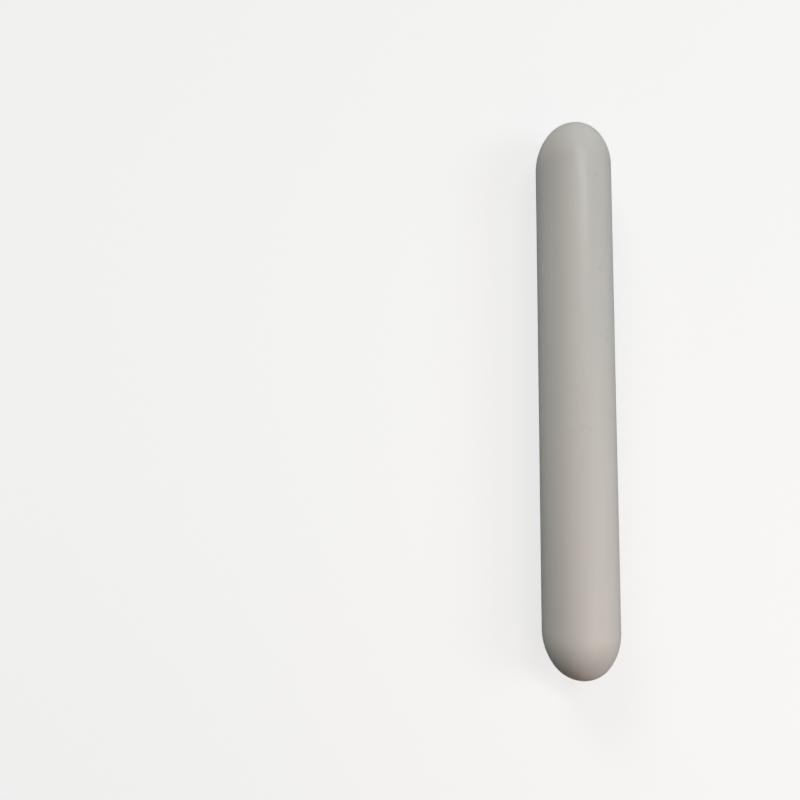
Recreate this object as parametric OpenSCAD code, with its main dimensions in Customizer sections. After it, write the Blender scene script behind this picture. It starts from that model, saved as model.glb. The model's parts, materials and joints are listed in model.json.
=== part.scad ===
// Magnetic stir bar: a rod magnet sealed in a smooth one-piece jacket of white fluoropolymer.
// The bar lies along Y with its middle at the origin. Sizes are in millimetres.

/* [Jacket] */
// Length of the bar from tip to tip
bar_l = 60; // [30:0.5:120]
// Diameter of the straight barrel
bar_d = 8.1; // [6:0.1:10]
// How much smaller the nose arc's radius is than the barrel's radius
nose_ease = 0.5; // [0.1:0.05:0.7]
// How far the nose arc's centre lies beyond the end of the barrel
nose_shift = 1.5; // [1.2:0.05:2.5]
// Diameter of the small flat at each tip
tip_flat_d = 1.4; // [0.2:0.1:2]
// Thickness of the jacket over the magnet's side
side_wall = 1; // [0.5:0.05:1.6]
// Thickness of the jacket beyond each end of the magnet
end_wall = 4.5; // [4:0.1:10]

/* [Magnet] */
// Clearance between the magnet and the jacket all round
core_fit = 0.05; // [0:0.01:0.2]
// Chamfer round each end of the magnet
core_chamfer = 0.4; // [0.1:0.05:1]

/* [Hidden] */
$fn = 128;

// Each rounded end is two arcs that meet smoothly. The nose arc has its centre on the axis and is
// cut off by the tip flat. The shoulder arc is tangent to the barrel and to the nose arc.
bar_r = bar_d / 2;
nose_r = bar_r - nose_ease;
shoulder_r = (bar_r ^ 2 - nose_r ^ 2 + nose_shift ^ 2) / (2 * nose_ease);
blend_y = nose_shift * shoulder_r / (shoulder_r - nose_r);
end_l = nose_shift + sqrt(nose_r ^ 2 - (tip_flat_d / 2) ^ 2);
half_barrel_l = bar_l / 2 - end_l;

// The sealed cavity follows the jacket's walls, and the magnet follows the cavity
cavity_r = bar_r - side_wall;
cavity_l = bar_l - 2 * end_wall;
core_r = cavity_r - core_fit;
core_l = cavity_l - 2 * core_fit;

// Half the outline of one rounded end: the axis is x = 0 and the barrel stops at y = 0
module end_outline() {
    // Shoulder, from the barrel to where the nose arc takes over
    intersection() {
        translate([bar_r - shoulder_r, 0]) circle(r = shoulder_r);
        square([bar_r, blend_y]);
    }
    // Nose, up to the tip flat
    intersection() {
        translate([0, nose_shift]) circle(r = nose_r);
        translate([0, blend_y]) square([bar_r, end_l - blend_y]);
    }
}

// One half of the jacket's outline, from the middle of the bar to a tip
module half_jacket_outline() {
    square([bar_r, half_barrel_l]);
    translate([0, half_barrel_l]) end_outline();
}

// Half the outline of a rod with chamfered ends, centred on y = 0
module rod_outline(r, l, chamfer) {
    polygon([
        [0, -l / 2],
        [r - chamfer, -l / 2],
        [r, -l / 2 + chamfer],
        [r, l / 2 - chamfer],
        [r - chamfer, l / 2],
        [0, l / 2]
    ]);
}

// Turns an outline about its axis and lays it along Y
module turned() {
    rotate([-90, 0, 0]) rotate_extrude() children();
}

// One-piece jacket: straight barrel, two rounded ends and a sealed cavity for the magnet
module ptfe_jacket() {
    color([0.93, 0.93, 0.91])
    turned()
    difference() {
        union() {
            half_jacket_outline();
            mirror([0, 1]) half_jacket_outline();
        }
        rod_outline(cavity_r, cavity_l, core_chamfer);
    }
}

// Rod magnet, sealed inside the jacket
module magnet_core() {
    color([0.45, 0.45, 0.47])
    turned()
    rod_outline(core_r, core_l, core_chamfer);
}

ptfe_jacket();
magnet_core();
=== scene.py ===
"""Looks for the magnetic stir bar: its white jacket, the magnet inside it, a pale floor and soft lamps.

Everything is in metres in the part's own frame: the bar lies along Y about the origin, and Z is up.
"""
import json
import math

import bpy
from mathutils import Matrix, Vector, noise


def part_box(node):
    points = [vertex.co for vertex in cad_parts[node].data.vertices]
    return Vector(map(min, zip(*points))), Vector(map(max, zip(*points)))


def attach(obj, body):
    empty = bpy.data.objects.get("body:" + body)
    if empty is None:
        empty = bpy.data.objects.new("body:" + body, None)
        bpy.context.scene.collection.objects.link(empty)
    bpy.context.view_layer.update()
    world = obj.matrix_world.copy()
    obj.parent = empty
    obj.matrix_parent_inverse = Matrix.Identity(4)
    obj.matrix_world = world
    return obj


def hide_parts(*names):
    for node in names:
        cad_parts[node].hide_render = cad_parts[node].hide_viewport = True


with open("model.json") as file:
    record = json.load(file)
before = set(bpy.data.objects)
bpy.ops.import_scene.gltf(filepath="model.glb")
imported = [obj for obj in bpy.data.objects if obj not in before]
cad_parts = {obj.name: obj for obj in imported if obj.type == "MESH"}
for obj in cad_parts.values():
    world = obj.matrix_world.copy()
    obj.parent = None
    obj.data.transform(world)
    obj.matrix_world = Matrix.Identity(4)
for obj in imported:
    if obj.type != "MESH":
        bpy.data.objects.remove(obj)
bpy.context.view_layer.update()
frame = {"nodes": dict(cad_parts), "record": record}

MM = 0.001
JACKET = "ptfe_jacket"
MAGNET = "magnet_core"

# ---------------------------------------------------------------- sizes, worked out from the frame
mounts = {mount["name"]: mount for mount in frame["record"]["mounts"]}
bar_r = mounts["barrel"]["dims"]["r_mm"] * MM
half_barrel_l = mounts["barrel"]["dims"]["length_mm"] * MM / 2
half_bar_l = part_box(JACKET)[1].y
end_l = half_bar_l - half_barrel_l

# The rounded end: a shoulder arc, then a nose arc, then a small flat at the tip, as in the part's source
NOSE_EASE = 0.5 * MM
NOSE_SHIFT = 1.5 * MM
nose_r = bar_r - NOSE_EASE
shoulder_r = (bar_r ** 2 - nose_r ** 2 + NOSE_SHIFT ** 2) / (2 * NOSE_EASE)
shoulder_turn = math.asin(NOSE_SHIFT / (shoulder_r - nose_r))
tip_flat_r = math.sqrt(nose_r ** 2 - (end_l - NOSE_SHIFT) ** 2)
nose_turn = math.acos(tip_flat_r / nose_r) - shoulder_turn

# The sealed cavity, which follows the magnet
CORE_FIT = 0.05 * MM
CORE_CHAMFER = 0.4 * MM
cavity_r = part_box(MAGNET)[1].x + CORE_FIT
half_cavity_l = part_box(MAGNET)[1].y + CORE_FIT

# How fine the jacket's mesh is, and how far each change of curvature is spread along it
COLUMNS = 192
BARREL_STEP = 0.16 * MM
END_RINGS = 48
FINE_STEP = 0.01 * MM
CURVE_EASE = 0.5 * MM
CAVITY_COLUMNS = 48

# The slight unevenness that moulding leaves, and one small nick: (y, degrees round from +Z towards +X)
WAVE_HEIGHT = 0.009 * MM
WAVE_ALONG = 7 * MM
WAVE_AROUND = 3.5 * MM
NICK_PLACE = (12.85 * MM, 21.7)
NICK_R = 0.22 * MM
NICK_DEPTH = 0.035 * MM


# ---------------------------------------------------------------- the jacket's shape
def end_tangents(reach):
    """The outline's tangent angle at even steps, from reach inside the barrel to the tip's centre."""
    shoulder_l = shoulder_r * shoulder_turn
    nose_l = nose_r * nose_turn
    count = round((reach + shoulder_l + nose_l + tip_flat_r) / FINE_STEP)
    angles = []
    for step in range(count):
        along = (step + 0.5) * FINE_STEP - reach
        if along < 0:
            angles.append(0.0)
        elif along < shoulder_l:
            angles.append(along / shoulder_r)
        elif along < shoulder_l + nose_l:
            angles.append(shoulder_turn + (along - shoulder_l) / nose_r)
        else:
            angles.append(math.pi / 2)
    return angles


def eased(angles, width):
    """The same angles averaged over width, so that the curvature never jumps."""
    half = round(width / FINE_STEP / 2)
    mirrored = [math.pi - angle for angle in reversed(angles[-half:])]
    padded = [0.0] * half + angles + mirrored
    total = sum(padded[:2 * half])
    smooth = []
    for step in range(len(angles)):
        total += padded[step + 2 * half]
        smooth.append(total / (2 * half + 1))
        total -= padded[step]
    return smooth


def end_outline():
    """(distance past the barrel's end, radius) pairs of one end, without the tip's centre."""
    reach = CURVE_EASE
    angles = eased(end_tangents(reach), CURVE_EASE)
    along, fall = [0.0], [0.0]
    for angle in angles:
        along.append(along[-1] + math.cos(angle))
        fall.append(fall[-1] + math.sin(angle))
    stretch = (reach + end_l) / along[-1]
    points = []
    for ring in range(END_RINGS):
        step = round(len(angles) * ring / END_RINGS)
        points.append((along[step] * stretch - reach, bar_r * (1 - fall[step] / fall[-1])))
    return points


def jacket_rings():
    """(y, radius) of every ring of the jacket's outside, from one tip to the other."""
    end = [(half_barrel_l + along, radius) for along, radius in end_outline()]
    start = end[0][0]
    count = round(2 * start / BARREL_STEP)
    straight = [(2 * start * step / count - start, bar_r) for step in range(1, count)]
    return [(-y, radius) for y, radius in reversed(end)] + straight + end


def relief(y, angle):
    """How far the moulded surface stands proud of its true form at a place round the bar."""
    place = Vector((
        math.sin(angle) * bar_r / WAVE_AROUND,
        y / WAVE_ALONG,
        math.cos(angle) * bar_r / WAVE_AROUND,
    ))
    height = WAVE_HEIGHT * noise.noise(place)
    around = (angle - math.radians(NICK_PLACE[1])) * bar_r
    away = math.hypot(y - NICK_PLACE[0], around) / NICK_R
    return height - NICK_DEPTH * math.exp(-away ** 2)


def turned(rings, tip_y, columns, rough=False, inward=False):
    """Vertices and faces of a closed body turned about Y. rough adds relief, inward makes a cavity."""
    verts = []
    for y, radius in rings:
        for column in range(columns):
            angle = 2 * math.pi * column / columns
            if angle > math.pi:
                angle -= 2 * math.pi
            out = radius + (relief(y, angle) * radius / bar_r if rough else 0)
            verts.append((out * math.sin(angle), y, out * math.cos(angle)))
    faces = []
    for ring in range(len(rings) - 1):
        low, high = ring * columns, (ring + 1) * columns
        for column in range(columns):
            after = (column + 1) % columns
            faces.append((low + column, low + after, high + after, high + column))
    first, last = len(verts), len(verts) + 1
    verts += [(0, -tip_y, 0), (0, tip_y, 0)]
    top = (len(rings) - 1) * columns
    for column in range(columns):
        after = (column + 1) % columns
        faces.append((first, after, column))
        faces.append((last, top + column, top + after))
    if inward:
        faces = [tuple(reversed(face)) for face in faces]
    return verts, faces


def mesh_object(name, parts):
    """One smooth mesh object made of several (vertices, faces) parts."""
    verts, faces = [], []
    for part_verts, part_faces in parts:
        start = len(verts)
        verts += part_verts
        faces += [tuple(start + index for index in face) for face in part_faces]
    mesh = bpy.data.meshes.new(name)
    mesh.from_pydata(verts, [], faces)
    mesh.shade_smooth()
    piece = bpy.data.objects.new(name, mesh)
    bpy.context.scene.collection.objects.link(piece)
    return piece


def jacket_skin():
    """The jacket: its outside, and the sealed cavity that holds the magnet."""
    outside = turned(jacket_rings(), half_bar_l, COLUMNS, rough=True)
    shoulder_y = half_cavity_l - CORE_CHAMFER
    face_r = cavity_r - CORE_CHAMFER
    cavity_rings = [
        (-half_cavity_l, face_r),
        (-shoulder_y, cavity_r),
        (shoulder_y, cavity_r),
        (half_cavity_l, face_r),
    ]
    cavity = turned(cavity_rings, half_cavity_l, CAVITY_COLUMNS, inward=True)
    piece = mesh_object("jacket_skin", [outside, cavity])
    piece.data.materials.append(fluoropolymer())
    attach(piece, "root")
    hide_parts(JACKET)


# ---------------------------------------------------------------- node helpers
# The stretch of a noise's values that is spread over a range. What lies outside it is clamped.
NOISE_LOW, NOISE_HIGH = 0.3, 0.7


def new_material(name):
    """A node material and what its makers need: the node tree and the shader."""
    material = bpy.data.materials.new(name)
    material.use_nodes = True
    tree = material.node_tree
    return material, tree, tree.nodes["Principled BSDF"]


def add_node(tree, kind, inputs=None, **settings):
    """A node with its settings, and its inputs given as values or as the sockets that feed them."""
    node = tree.nodes.new(kind)
    for name, value in settings.items():
        setattr(node, name, value)
    for key, value in (inputs or {}).items():
        if isinstance(value, bpy.types.NodeSocket):
            tree.links.new(value, node.inputs[key])
        else:
            node.inputs[key].default_value = value
    return node


def math_node(tree, operation, first, second):
    return add_node(tree, "ShaderNodeMath", {0: first, 1: second}, operation=operation).outputs[0]


def mixed(tree, factor, first, second):
    """The first colour going over to the second as factor goes from 0 to 1."""
    colour_a, colour_b, colour_out = 6, 7, 2
    inputs = {0: factor, colour_a: first, colour_b: second}
    return add_node(tree, "ShaderNodeMix", inputs, data_type="RGBA").outputs[colour_out]


def place_in_mm(tree):
    """The place on the piece in millimetres of the part's own frame."""
    place = add_node(tree, "ShaderNodeTexCoord").outputs["Object"]
    inputs = {0: place, "Scale": 1 / MM}
    return add_node(tree, "ShaderNodeVectorMath", inputs, operation="SCALE").outputs[0]


def unrolled(tree, place):
    """The surface unrolled: (distance round from the top towards +X, distance along), in millimetres."""
    split = add_node(tree, "ShaderNodeSeparateXYZ", {0: place})
    angle = math_node(tree, "ARCTAN2", split.outputs["X"], split.outputs["Z"])
    around = math_node(tree, "MULTIPLY", angle, bar_r / MM)
    return add_node(tree, "ShaderNodeCombineXYZ", {"X": around, "Y": split.outputs["Y"]}).outputs[0]


def noise_value(tree, place, scale, detail, squeeze=(1, 1, 1)):
    """Noise with about scale features a millimetre, drawn out along the axes where squeeze is small."""
    mapped = add_node(tree, "ShaderNodeMapping", {"Vector": place, "Scale": squeeze}).outputs[0]
    inputs = {"Vector": mapped, "Scale": scale, "Detail": detail}
    return add_node(tree, "ShaderNodeTexNoise", inputs).outputs["Fac"]


def rescaled(tree, value, low, high, start=NOISE_LOW, stop=NOISE_HIGH):
    """value taken from start..stop to low..high."""
    inputs = {"Value": value, "From Min": start, "From Max": stop, "To Min": low, "To Max": high}
    return add_node(tree, "ShaderNodeMapRange", inputs).outputs[0]


def add_bump(tree, shader, height, strength, distance):
    inputs = {"Height": height, "Strength": strength, "Distance": distance}
    tree.links.new(add_node(tree, "ShaderNodeBump", inputs).outputs[0], shader.inputs["Normal"])


def spot(tree, surface, around, along, half_width, half_length, turn):
    """1 at the middle of a soft oval mark on the unrolled surface, falling to 0 at its edge."""
    inputs = {
        "Vector": surface,
        "Location": (around, along, 0),
        "Rotation": (0, 0, math.radians(turn)),
        "Scale": (half_width, half_length, 1),
    }
    mapped = add_node(tree, "ShaderNodeMapping", inputs, vector_type="TEXTURE").outputs[0]
    soft = {"gradient_type": "QUADRATIC_SPHERE"}
    return add_node(tree, "ShaderNodeTexGradient", {"Vector": mapped}, **soft).outputs["Fac"]


# ---------------------------------------------------------------- materials
# Colours are linear. A noise scale is in features a millimetre, and a squeeze draws them out along axes.
WHITE_WARM = (0.790, 0.775, 0.745, 1)
WHITE_COOL = (0.777, 0.774, 0.744, 1)
SOIL = (0.42, 0.40, 0.37, 1)
# A near-white tone, lighter than the jacket, for the pale streak on the left side
PALE_TONE = (0.97, 0.97, 0.96, 1)
CLOUD_SCALE = 0.16
GRAIN_SCALE = 5.0
FLOW_SCALE = 1.6
FLOW_SQUEEZE = (1, 0.03, 1)
# The most of the soil's tone that the grain and the flow lines each bring in
SHADE = 0.02
GLOSS_SCALE = 0.7
JACKET_ROUGHNESS = (0.285, 0.335)
JACKET_IOR = 1.35
JACKET_BUMP = 0.004 * MM
JACKET_BUMP_STRENGTH = 0.4
# How deep the scratch is, as a multiple of the bump's own height
SCRATCH_DEPTH = 3.0
SCATTER_WEIGHT = 0.25
SCATTER_RADIUS = (1.0, 0.95, 0.85)
SCATTER_DEPTH = 0.35 * MM

METAL_DARK = (0.30, 0.30, 0.31, 1)
METAL_PALE = (0.40, 0.39, 0.39, 1)
MOTTLE_SCALE = 0.8
LINE_SCALE = 1.0
LINE_SQUEEZE = (0.3, 9, 0.3)
METAL_ROUGHNESS = (0.32, 0.5)
METAL_BUMP = 0.01 * MM
METAL_BUMP_STRENGTH = 0.5

# Marks on the jacket: (mm round from the top, mm along, half width, half length, degrees turned)
SMUDGE = (-0.05, -3.95, 1.1, 0.6, -24)
SPECK = (1.5, 22.9, 0.24, 0.55, 0)
PIT = (1.53, 12.85, 0.45, 0.22, 0)
SCRATCH = (1.75, 5.68, 0.45, 0.18, -38)
SCRATCH_END = (2.65, 5.48, 0.7, 0.42, -10)
# A pale streak on the left side of the barrel, and a fine dark line beside it, both painted into the
# colour
PALE_STREAK = (-4.92, 13.6, 0.2, 1.6, 0)
PALE_STREAK_DARK_LINE = (-5.17, 13.95, 0.22, 1.6, 0)
# Each mark with its tone and how strong it is
MARKS = (
    (SMUDGE, SOIL, 0.11),
    (SPECK, SOIL, 0.18),
    (PIT, SOIL, 0.18),
    (SCRATCH, SOIL, 0.24),
    (SCRATCH_END, SOIL, 0.2),
    (PALE_STREAK, PALE_TONE, 1.0),
    (PALE_STREAK_DARK_LINE, SOIL, 0.35),
)


def fluoropolymer():
    """Sintered white fluoropolymer: satin and slightly translucent, with clouds, flow lines and marks."""
    material, tree, shader = new_material("white_fluoropolymer")
    place = place_in_mm(tree)
    surface = unrolled(tree, place)
    clouds = noise_value(tree, place, CLOUD_SCALE, detail=3)
    grain = noise_value(tree, place, GRAIN_SCALE, detail=2)
    flow = noise_value(tree, place, FLOW_SCALE, detail=2, squeeze=FLOW_SQUEEZE)

    colour = mixed(tree, rescaled(tree, clouds, 0, 1), WHITE_WARM, WHITE_COOL)
    shade = math_node(tree, "ADD", rescaled(tree, grain, 0, SHADE), rescaled(tree, flow, 0, SHADE))
    colour = mixed(tree, shade, colour, SOIL)
    for mark, tone, strength in MARKS:
        factor = math_node(tree, "MULTIPLY", spot(tree, surface, *mark), strength)
        colour = mixed(tree, factor, colour, tone)
    tree.links.new(colour, shader.inputs["Base Color"])

    gloss = noise_value(tree, place, GLOSS_SCALE, detail=3)
    tree.links.new(rescaled(tree, gloss, *JACKET_ROUGHNESS), shader.inputs["Roughness"])

    height = math_node(tree, "MULTIPLY", math_node(tree, "ADD", grain, flow), 0.5)
    groove = math_node(tree, "MULTIPLY", spot(tree, surface, *SCRATCH), SCRATCH_DEPTH)
    height = math_node(tree, "SUBTRACT", height, groove)
    add_bump(tree, shader, height, JACKET_BUMP_STRENGTH, JACKET_BUMP)

    shader.inputs["IOR"].default_value = JACKET_IOR
    shader.inputs["Subsurface Weight"].default_value = SCATTER_WEIGHT
    shader.inputs["Subsurface Radius"].default_value = SCATTER_RADIUS
    shader.inputs["Subsurface Scale"].default_value = SCATTER_DEPTH
    return material


def magnet_alloy():
    """Ground cast magnet alloy: dark grey metal with grinding lines round it and faint casting mottle."""
    material, tree, shader = new_material("magnet_alloy")
    place = place_in_mm(tree)
    mottle = noise_value(tree, place, MOTTLE_SCALE, detail=4)
    lines = noise_value(tree, place, LINE_SCALE, detail=3, squeeze=LINE_SQUEEZE)
    colour = mixed(tree, rescaled(tree, mottle, 0, 1), METAL_DARK, METAL_PALE)
    tree.links.new(colour, shader.inputs["Base Color"])
    tree.links.new(rescaled(tree, lines, *METAL_ROUGHNESS), shader.inputs["Roughness"])
    add_bump(tree, shader, lines, METAL_BUMP_STRENGTH, METAL_BUMP)
    shader.inputs["Metallic"].default_value = 1.0
    return material


# ---------------------------------------------------------------- stage
BLACK = (0, 0, 0, 1)
WHITE = (1, 1, 1, 1)
FLOOR_HALF = 1.4
FLOOR_TONE = (0.30, 0.30, 0.30, 1)
# What the camera sees added to the floor near the bar, and the tone of everything far from it
FLOOR_LIFT = 0.72
BACKDROP_TONE = 0.92
# The distances from the bar's middle between which the one goes over to the other
FLOOR_FADE = (0.06, 0.25)

# The photograph's viewing angle
LENS = 31.5
SENSOR = 36.0
NEAREST_SEEN = 5 * MM
FARTHEST_SEEN = 4 * FLOOR_HALF
CAMERA_DISTANCE = 75.67 * MM
CAMERA_AIM = Vector((-19.12, -0.77, 0)) * MM
CAMERA_TILT = math.radians(4.731)
CAMERA_ROLL = math.radians(0.2)

# Each lamp, which is aimed at the bar's middle: (name, azimuth from +X towards +Y, elevation, distance,
# widths, watts, colour, spread, whether it shows in the gloss), in degrees and metres
LAMPS = (
    ("far_soft", 114, 31, 1.0, (0.38, 0.38), 3.5, (1.0, 0.90, 0.89), 180, False),
    ("near_cool", 2, 40.5, 0.25, (0.13, 0.13), 0.204, (0.92, 1.0, 0.99), 180, False),
    ("near_warm", 302.5, 47.5, 0.08, (0.05, 0.05), 0.01, (1.0, 0.63, 0.54), 180, True),
    ("small_top", 68, 61.5, 1.0, (0.6, 0.1), 2.19, (0.94, 1.0, 0.96), 180, True),
    ("left_fill", 174.5, 12, 0.11, (0.07, 0.07), 0.00206, (0.84, 1.0, 0.88), 60, False),
)


def camera():
    data = bpy.data.cameras.new("camera")
    data.lens = LENS
    data.sensor_width = SENSOR
    data.clip_start = NEAREST_SEEN
    data.clip_end = FARTHEST_SEEN
    viewer = bpy.data.objects.new("camera", data)
    bpy.context.scene.collection.objects.link(viewer)
    turn = Matrix.Rotation(CAMERA_ROLL, 4, "Z") @ Matrix.Rotation(CAMERA_TILT, 4, "X")
    back = turn @ Vector((0, 0, 1))
    viewer.matrix_world = Matrix.Translation(CAMERA_AIM + back * CAMERA_DISTANCE) @ turn
    bpy.context.scene.camera = viewer


def floor_material():
    """Matt card that the camera sees lifted to near white, while only its own tone bounces onto the bar.

    Away from the bar it goes over to the backdrop's tone, so that no horizon shows.
    """
    material, tree, shader = new_material("pale_floor")
    place = add_node(tree, "ShaderNodeTexCoord").outputs["Object"]
    away = add_node(tree, "ShaderNodeVectorMath", {0: place}, operation="LENGTH").outputs["Value"]
    far = rescaled(tree, away, 0, 1, *FLOOR_FADE)
    tree.links.new(mixed(tree, far, FLOOR_TONE, BLACK), shader.inputs["Base Color"])
    seen = add_node(tree, "ShaderNodeLightPath").outputs["Is Camera Ray"]
    lift = rescaled(tree, away, FLOOR_LIFT, BACKDROP_TONE, *FLOOR_FADE)
    tree.links.new(math_node(tree, "MULTIPLY", seen, lift), shader.inputs["Emission Strength"])
    shader.inputs["Emission Color"].default_value = WHITE
    shader.inputs["Roughness"].default_value = 1.0
    shader.inputs["Specular IOR Level"].default_value = 0.0
    return material


def floor():
    side = FLOOR_HALF
    corners = [(-side, -side, -bar_r), (side, -side, -bar_r), (side, side, -bar_r), (-side, side, -bar_r)]
    mesh = bpy.data.meshes.new("floor")
    mesh.from_pydata(corners, [], [(0, 1, 2, 3)])
    mesh.materials.append(floor_material())
    sheet = bpy.data.objects.new("floor", mesh)
    bpy.context.scene.collection.objects.link(sheet)


def backdrop():
    """Beyond the floor the camera sees one pale tone, and nothing lights the bar from there."""
    world = bpy.data.worlds.new("backdrop")
    world.use_nodes = True
    bpy.context.scene.world = world
    tree = world.node_tree
    background = tree.nodes["Background"]
    background.inputs["Color"].default_value = WHITE
    seen = add_node(tree, "ShaderNodeLightPath").outputs["Is Camera Ray"]
    tree.links.new(math_node(tree, "MULTIPLY", seen, BACKDROP_TONE), background.inputs["Strength"])


def lamps():
    for name, azimuth, elevation, distance, (across, along), watts, colour, spread, in_gloss in LAMPS:
        data = bpy.data.lights.new(name, "AREA")
        data.shape = "ELLIPSE"
        data.size = across
        data.size_y = along
        data.energy = watts
        data.color = colour
        data.spread = math.radians(spread)
        lamp = bpy.data.objects.new(name, data)
        bpy.context.scene.collection.objects.link(lamp)
        round_z = Matrix.Rotation(math.radians(azimuth), 3, "Z")
        upwards = Matrix.Rotation(math.radians(-elevation), 3, "Y")
        place = round_z @ upwards @ Vector((distance, 0, 0))
        lamp.location = place
        lamp.rotation_euler = (-place).to_track_quat("-Z", "Y").to_euler()
        lamp.visible_camera = False
        lamp.visible_glossy = in_gloss


camera()
floor()
backdrop()
lamps()
bpy.context.scene.view_settings.view_transform = "Standard"

jacket_skin()
magnet = frame["nodes"][MAGNET]
magnet.data.materials.clear()
magnet.data.materials.append(magnet_alloy())
